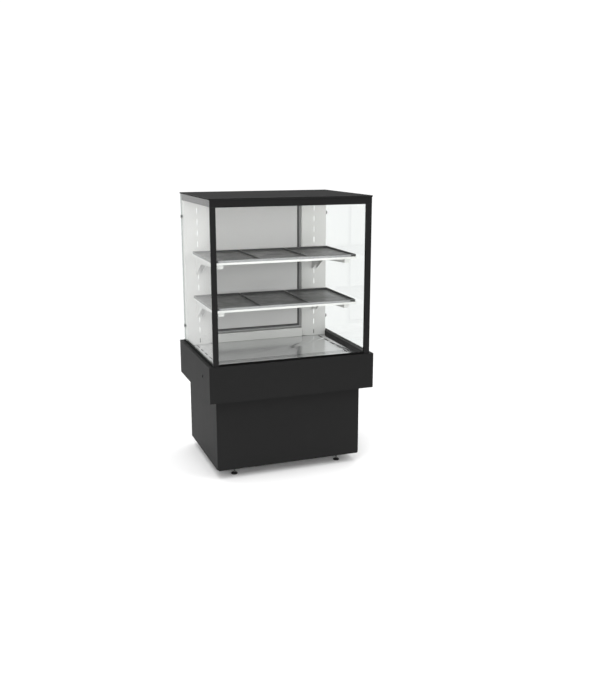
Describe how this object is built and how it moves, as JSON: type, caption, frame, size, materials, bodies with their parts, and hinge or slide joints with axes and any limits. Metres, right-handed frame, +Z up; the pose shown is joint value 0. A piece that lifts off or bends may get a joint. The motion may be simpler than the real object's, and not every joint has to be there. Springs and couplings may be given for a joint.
{
  "type": "bakery display case",
  "caption": "Floor-standing glass display case with dark steel framing, two shelves, a sunken deck and a narrower pedestal housing a cooling unit.",
  "frame": {"origin": "on the floor, at the middle of the footprint", "axes": "+Z up, front (the customer's side) towards -Y, service side with the door towards +Y, left and right as seen from the front"},
  "size_m": [0.8, 0.6, 1.3],
  "materials": {
    "black_steel": "satin black powder coat",
    "white_steel": "satin off-white powder coat",
    "stainless": "brushed stainless sheet",
    "clear_glass": "clear tempered float glass",
    "dark_tray": "dark grey coated tray",
    "price_rail_grey": "light grey glossy extrusion",
    "black_plastic": "moulded black plastic",
    "door_grey": "light grey painted inner skin",
    "lamp_white": "opal diffuser",
    "insulated_liner": "pale grey foam-filled liner",
    "aluminium": "bare fin stock",
    "dark_chrome": "dark nickel plating",
    "cast_black": "black machine enamel"
  },
  "bodies": {
    "case": {"pedestal_front_panel": "black_steel", "pedestal_side_left": "black_steel", "pedestal_side_right": "black_steel", "pedestal_base_plate": "black_steel", "service_panel": "black_steel", "deck_front_panel": "black_steel", "deck_rear_panel": "black_steel", "deck_side_left": "black_steel", "deck_side_right": "black_steel", "cap_plate": "black_steel", "header_frame": "black_steel", "post_front_left": "black_steel", "post_front_right": "black_steel", "thermostat": "black_plastic", "power_inlet": "black_plastic", "light_switch_bezel": "black_plastic", "compressor": "cast_black", "condenser_fan_housing": "cast_black", "condenser": "aluminium", "evaporator": "aluminium", "deck_tub": "insulated_liner", "rear_sill": "white_steel", "column_rear_left": "white_steel", "column_rear_right": "white_steel", "bracket_upper_left": "white_steel", "bracket_upper_right": "white_steel", "bracket_lower_left": "white_steel", "bracket_lower_right": "white_steel", "front_glass": "clear_glass", "side_glass_left": "clear_glass", "side_glass_right": "clear_glass", "top_lamp": "lamp_white", "glass_fixing_left_upper": "dark_chrome", "glass_fixing_left_lower": "dark_chrome", "glass_fixing_right_upper": "dark_chrome", "glass_fixing_right_lower": "dark_chrome", "door_pivot_lower": "dark_chrome", "door_pivot_upper": "dark_chrome"},
    "rear_door": {"rear_door_frame": "black_steel", "rear_door_panel": "door_grey", "rear_door_handle": "black_plastic"},
    "light_switch": {"light_switch_rocker": "black_plastic"},
    "thermostat_dial": {"thermostat_knob": "black_plastic"},
    "condenser_fan_rotor": {"condenser_fan": "black_plastic"},
    "evaporator_fan_rotor": {"evaporator_fan": "black_plastic"},
    "deck_floor_plate": {"deck_floor": "stainless"},
    "shelf_upper": {"shelf_plate_upper": "white_steel", "price_rail_upper": "price_rail_grey"},
    "shelf_lower": {"shelf_plate_lower": "white_steel", "price_rail_lower": "price_rail_grey"},
    "levelling_front_left": {"foot_front_left": "black_plastic"},
    "levelling_front_right": {"foot_front_right": "black_plastic"},
    "levelling_rear_left": {"foot_rear_left": "black_plastic"},
    "levelling_rear_right": {"foot_rear_right": "black_plastic"},
    "upper_left_tray": {"tray_upper_left": "dark_tray"},
    "upper_middle_tray": {"tray_upper_middle": "dark_tray"},
    "upper_right_tray": {"tray_upper_right": "dark_tray"},
    "lower_left_tray": {"tray_lower_left": "dark_tray"},
    "lower_middle_tray": {"tray_lower_middle": "dark_tray"},
    "lower_right_tray": {"tray_lower_right": "dark_tray"}
  },
  "joints": [
    {"name": "rear_door_swing", "type": "hinge", "parent": "case", "child": "rear_door", "pos_m": [0.2315, 0.277, 0.9215], "axis": [0, 0, -1], "range_deg": [0, 110]},
    {"name": "light_switch_rock", "type": "hinge", "parent": "case", "child": "light_switch", "pos_m": [-0.396, -0.172, 0.4895], "axis": [0, 1, 0], "range_deg": [-16, 0]},
    {"name": "thermostat_turn", "type": "hinge", "parent": "case", "child": "thermostat_dial", "pos_m": [0.25, 0.2883, 0.345], "axis": [0, -1, 0], "range_deg": [0, 270]},
    {"name": "condenser_fan_spin", "type": "hinge", "parent": "case", "child": "condenser_fan_rotor", "pos_m": [0.125, 0.206, 0.183], "axis": [0, 1, 0], "continuous": true},
    {"name": "evaporator_fan_spin", "type": "hinge", "parent": "case", "child": "evaporator_fan_rotor", "pos_m": [0, 0.03, 0.47], "axis": [0, 1, 0], "continuous": true},
    {"name": "levelling_front_left_turn", "type": "hinge", "parent": "case", "child": "levelling_front_left", "pos_m": [-0.262, -0.185, 0.02], "axis": [0, 0, 1], "continuous": true},
    {"name": "levelling_front_right_turn", "type": "hinge", "parent": "case", "child": "levelling_front_right", "pos_m": [0.262, -0.185, 0.02], "axis": [0, 0, 1], "continuous": true},
    {"name": "levelling_rear_left_turn", "type": "hinge", "parent": "case", "child": "levelling_rear_left", "pos_m": [-0.262, 0.225, 0.02], "axis": [0, 0, 1], "continuous": true},
    {"name": "levelling_rear_right_turn", "type": "hinge", "parent": "case", "child": "levelling_rear_right", "pos_m": [0.262, 0.225, 0.02], "axis": [0, 0, 1], "continuous": true},
    {"name": "deck_floor_lift", "type": "slide", "parent": "case", "child": "deck_floor_plate", "axis": [0, 0, 1], "range_m": [0, 0.05]},
    {"name": "shelf_upper_lift", "type": "slide", "parent": "case", "child": "shelf_upper", "axis": [0, 0, 1], "range_m": [0, 0.03]},
    {"name": "shelf_lower_lift", "type": "slide", "parent": "case", "child": "shelf_lower", "axis": [0, 0, 1], "range_m": [0, 0.03]},
    {"name": "upper_left_tray_lift", "type": "slide", "parent": "shelf_upper", "child": "upper_left_tray", "axis": [0, 0, 1], "range_m": [0, 0.05]},
    {"name": "upper_middle_tray_lift", "type": "slide", "parent": "shelf_upper", "child": "upper_middle_tray", "axis": [0, 0, 1], "range_m": [0, 0.05]},
    {"name": "upper_right_tray_lift", "type": "slide", "parent": "shelf_upper", "child": "upper_right_tray", "axis": [0, 0, 1], "range_m": [0, 0.05]},
    {"name": "lower_left_tray_lift", "type": "slide", "parent": "shelf_lower", "child": "lower_left_tray", "axis": [0, 0, 1], "range_m": [0, 0.05]},
    {"name": "lower_middle_tray_lift", "type": "slide", "parent": "shelf_lower", "child": "lower_middle_tray", "axis": [0, 0, 1], "range_m": [0, 0.05]},
    {"name": "lower_right_tray_lift", "type": "slide", "parent": "shelf_lower", "child": "lower_right_tray", "axis": [0, 0, 1], "range_m": [0, 0.05]}
  ]
}
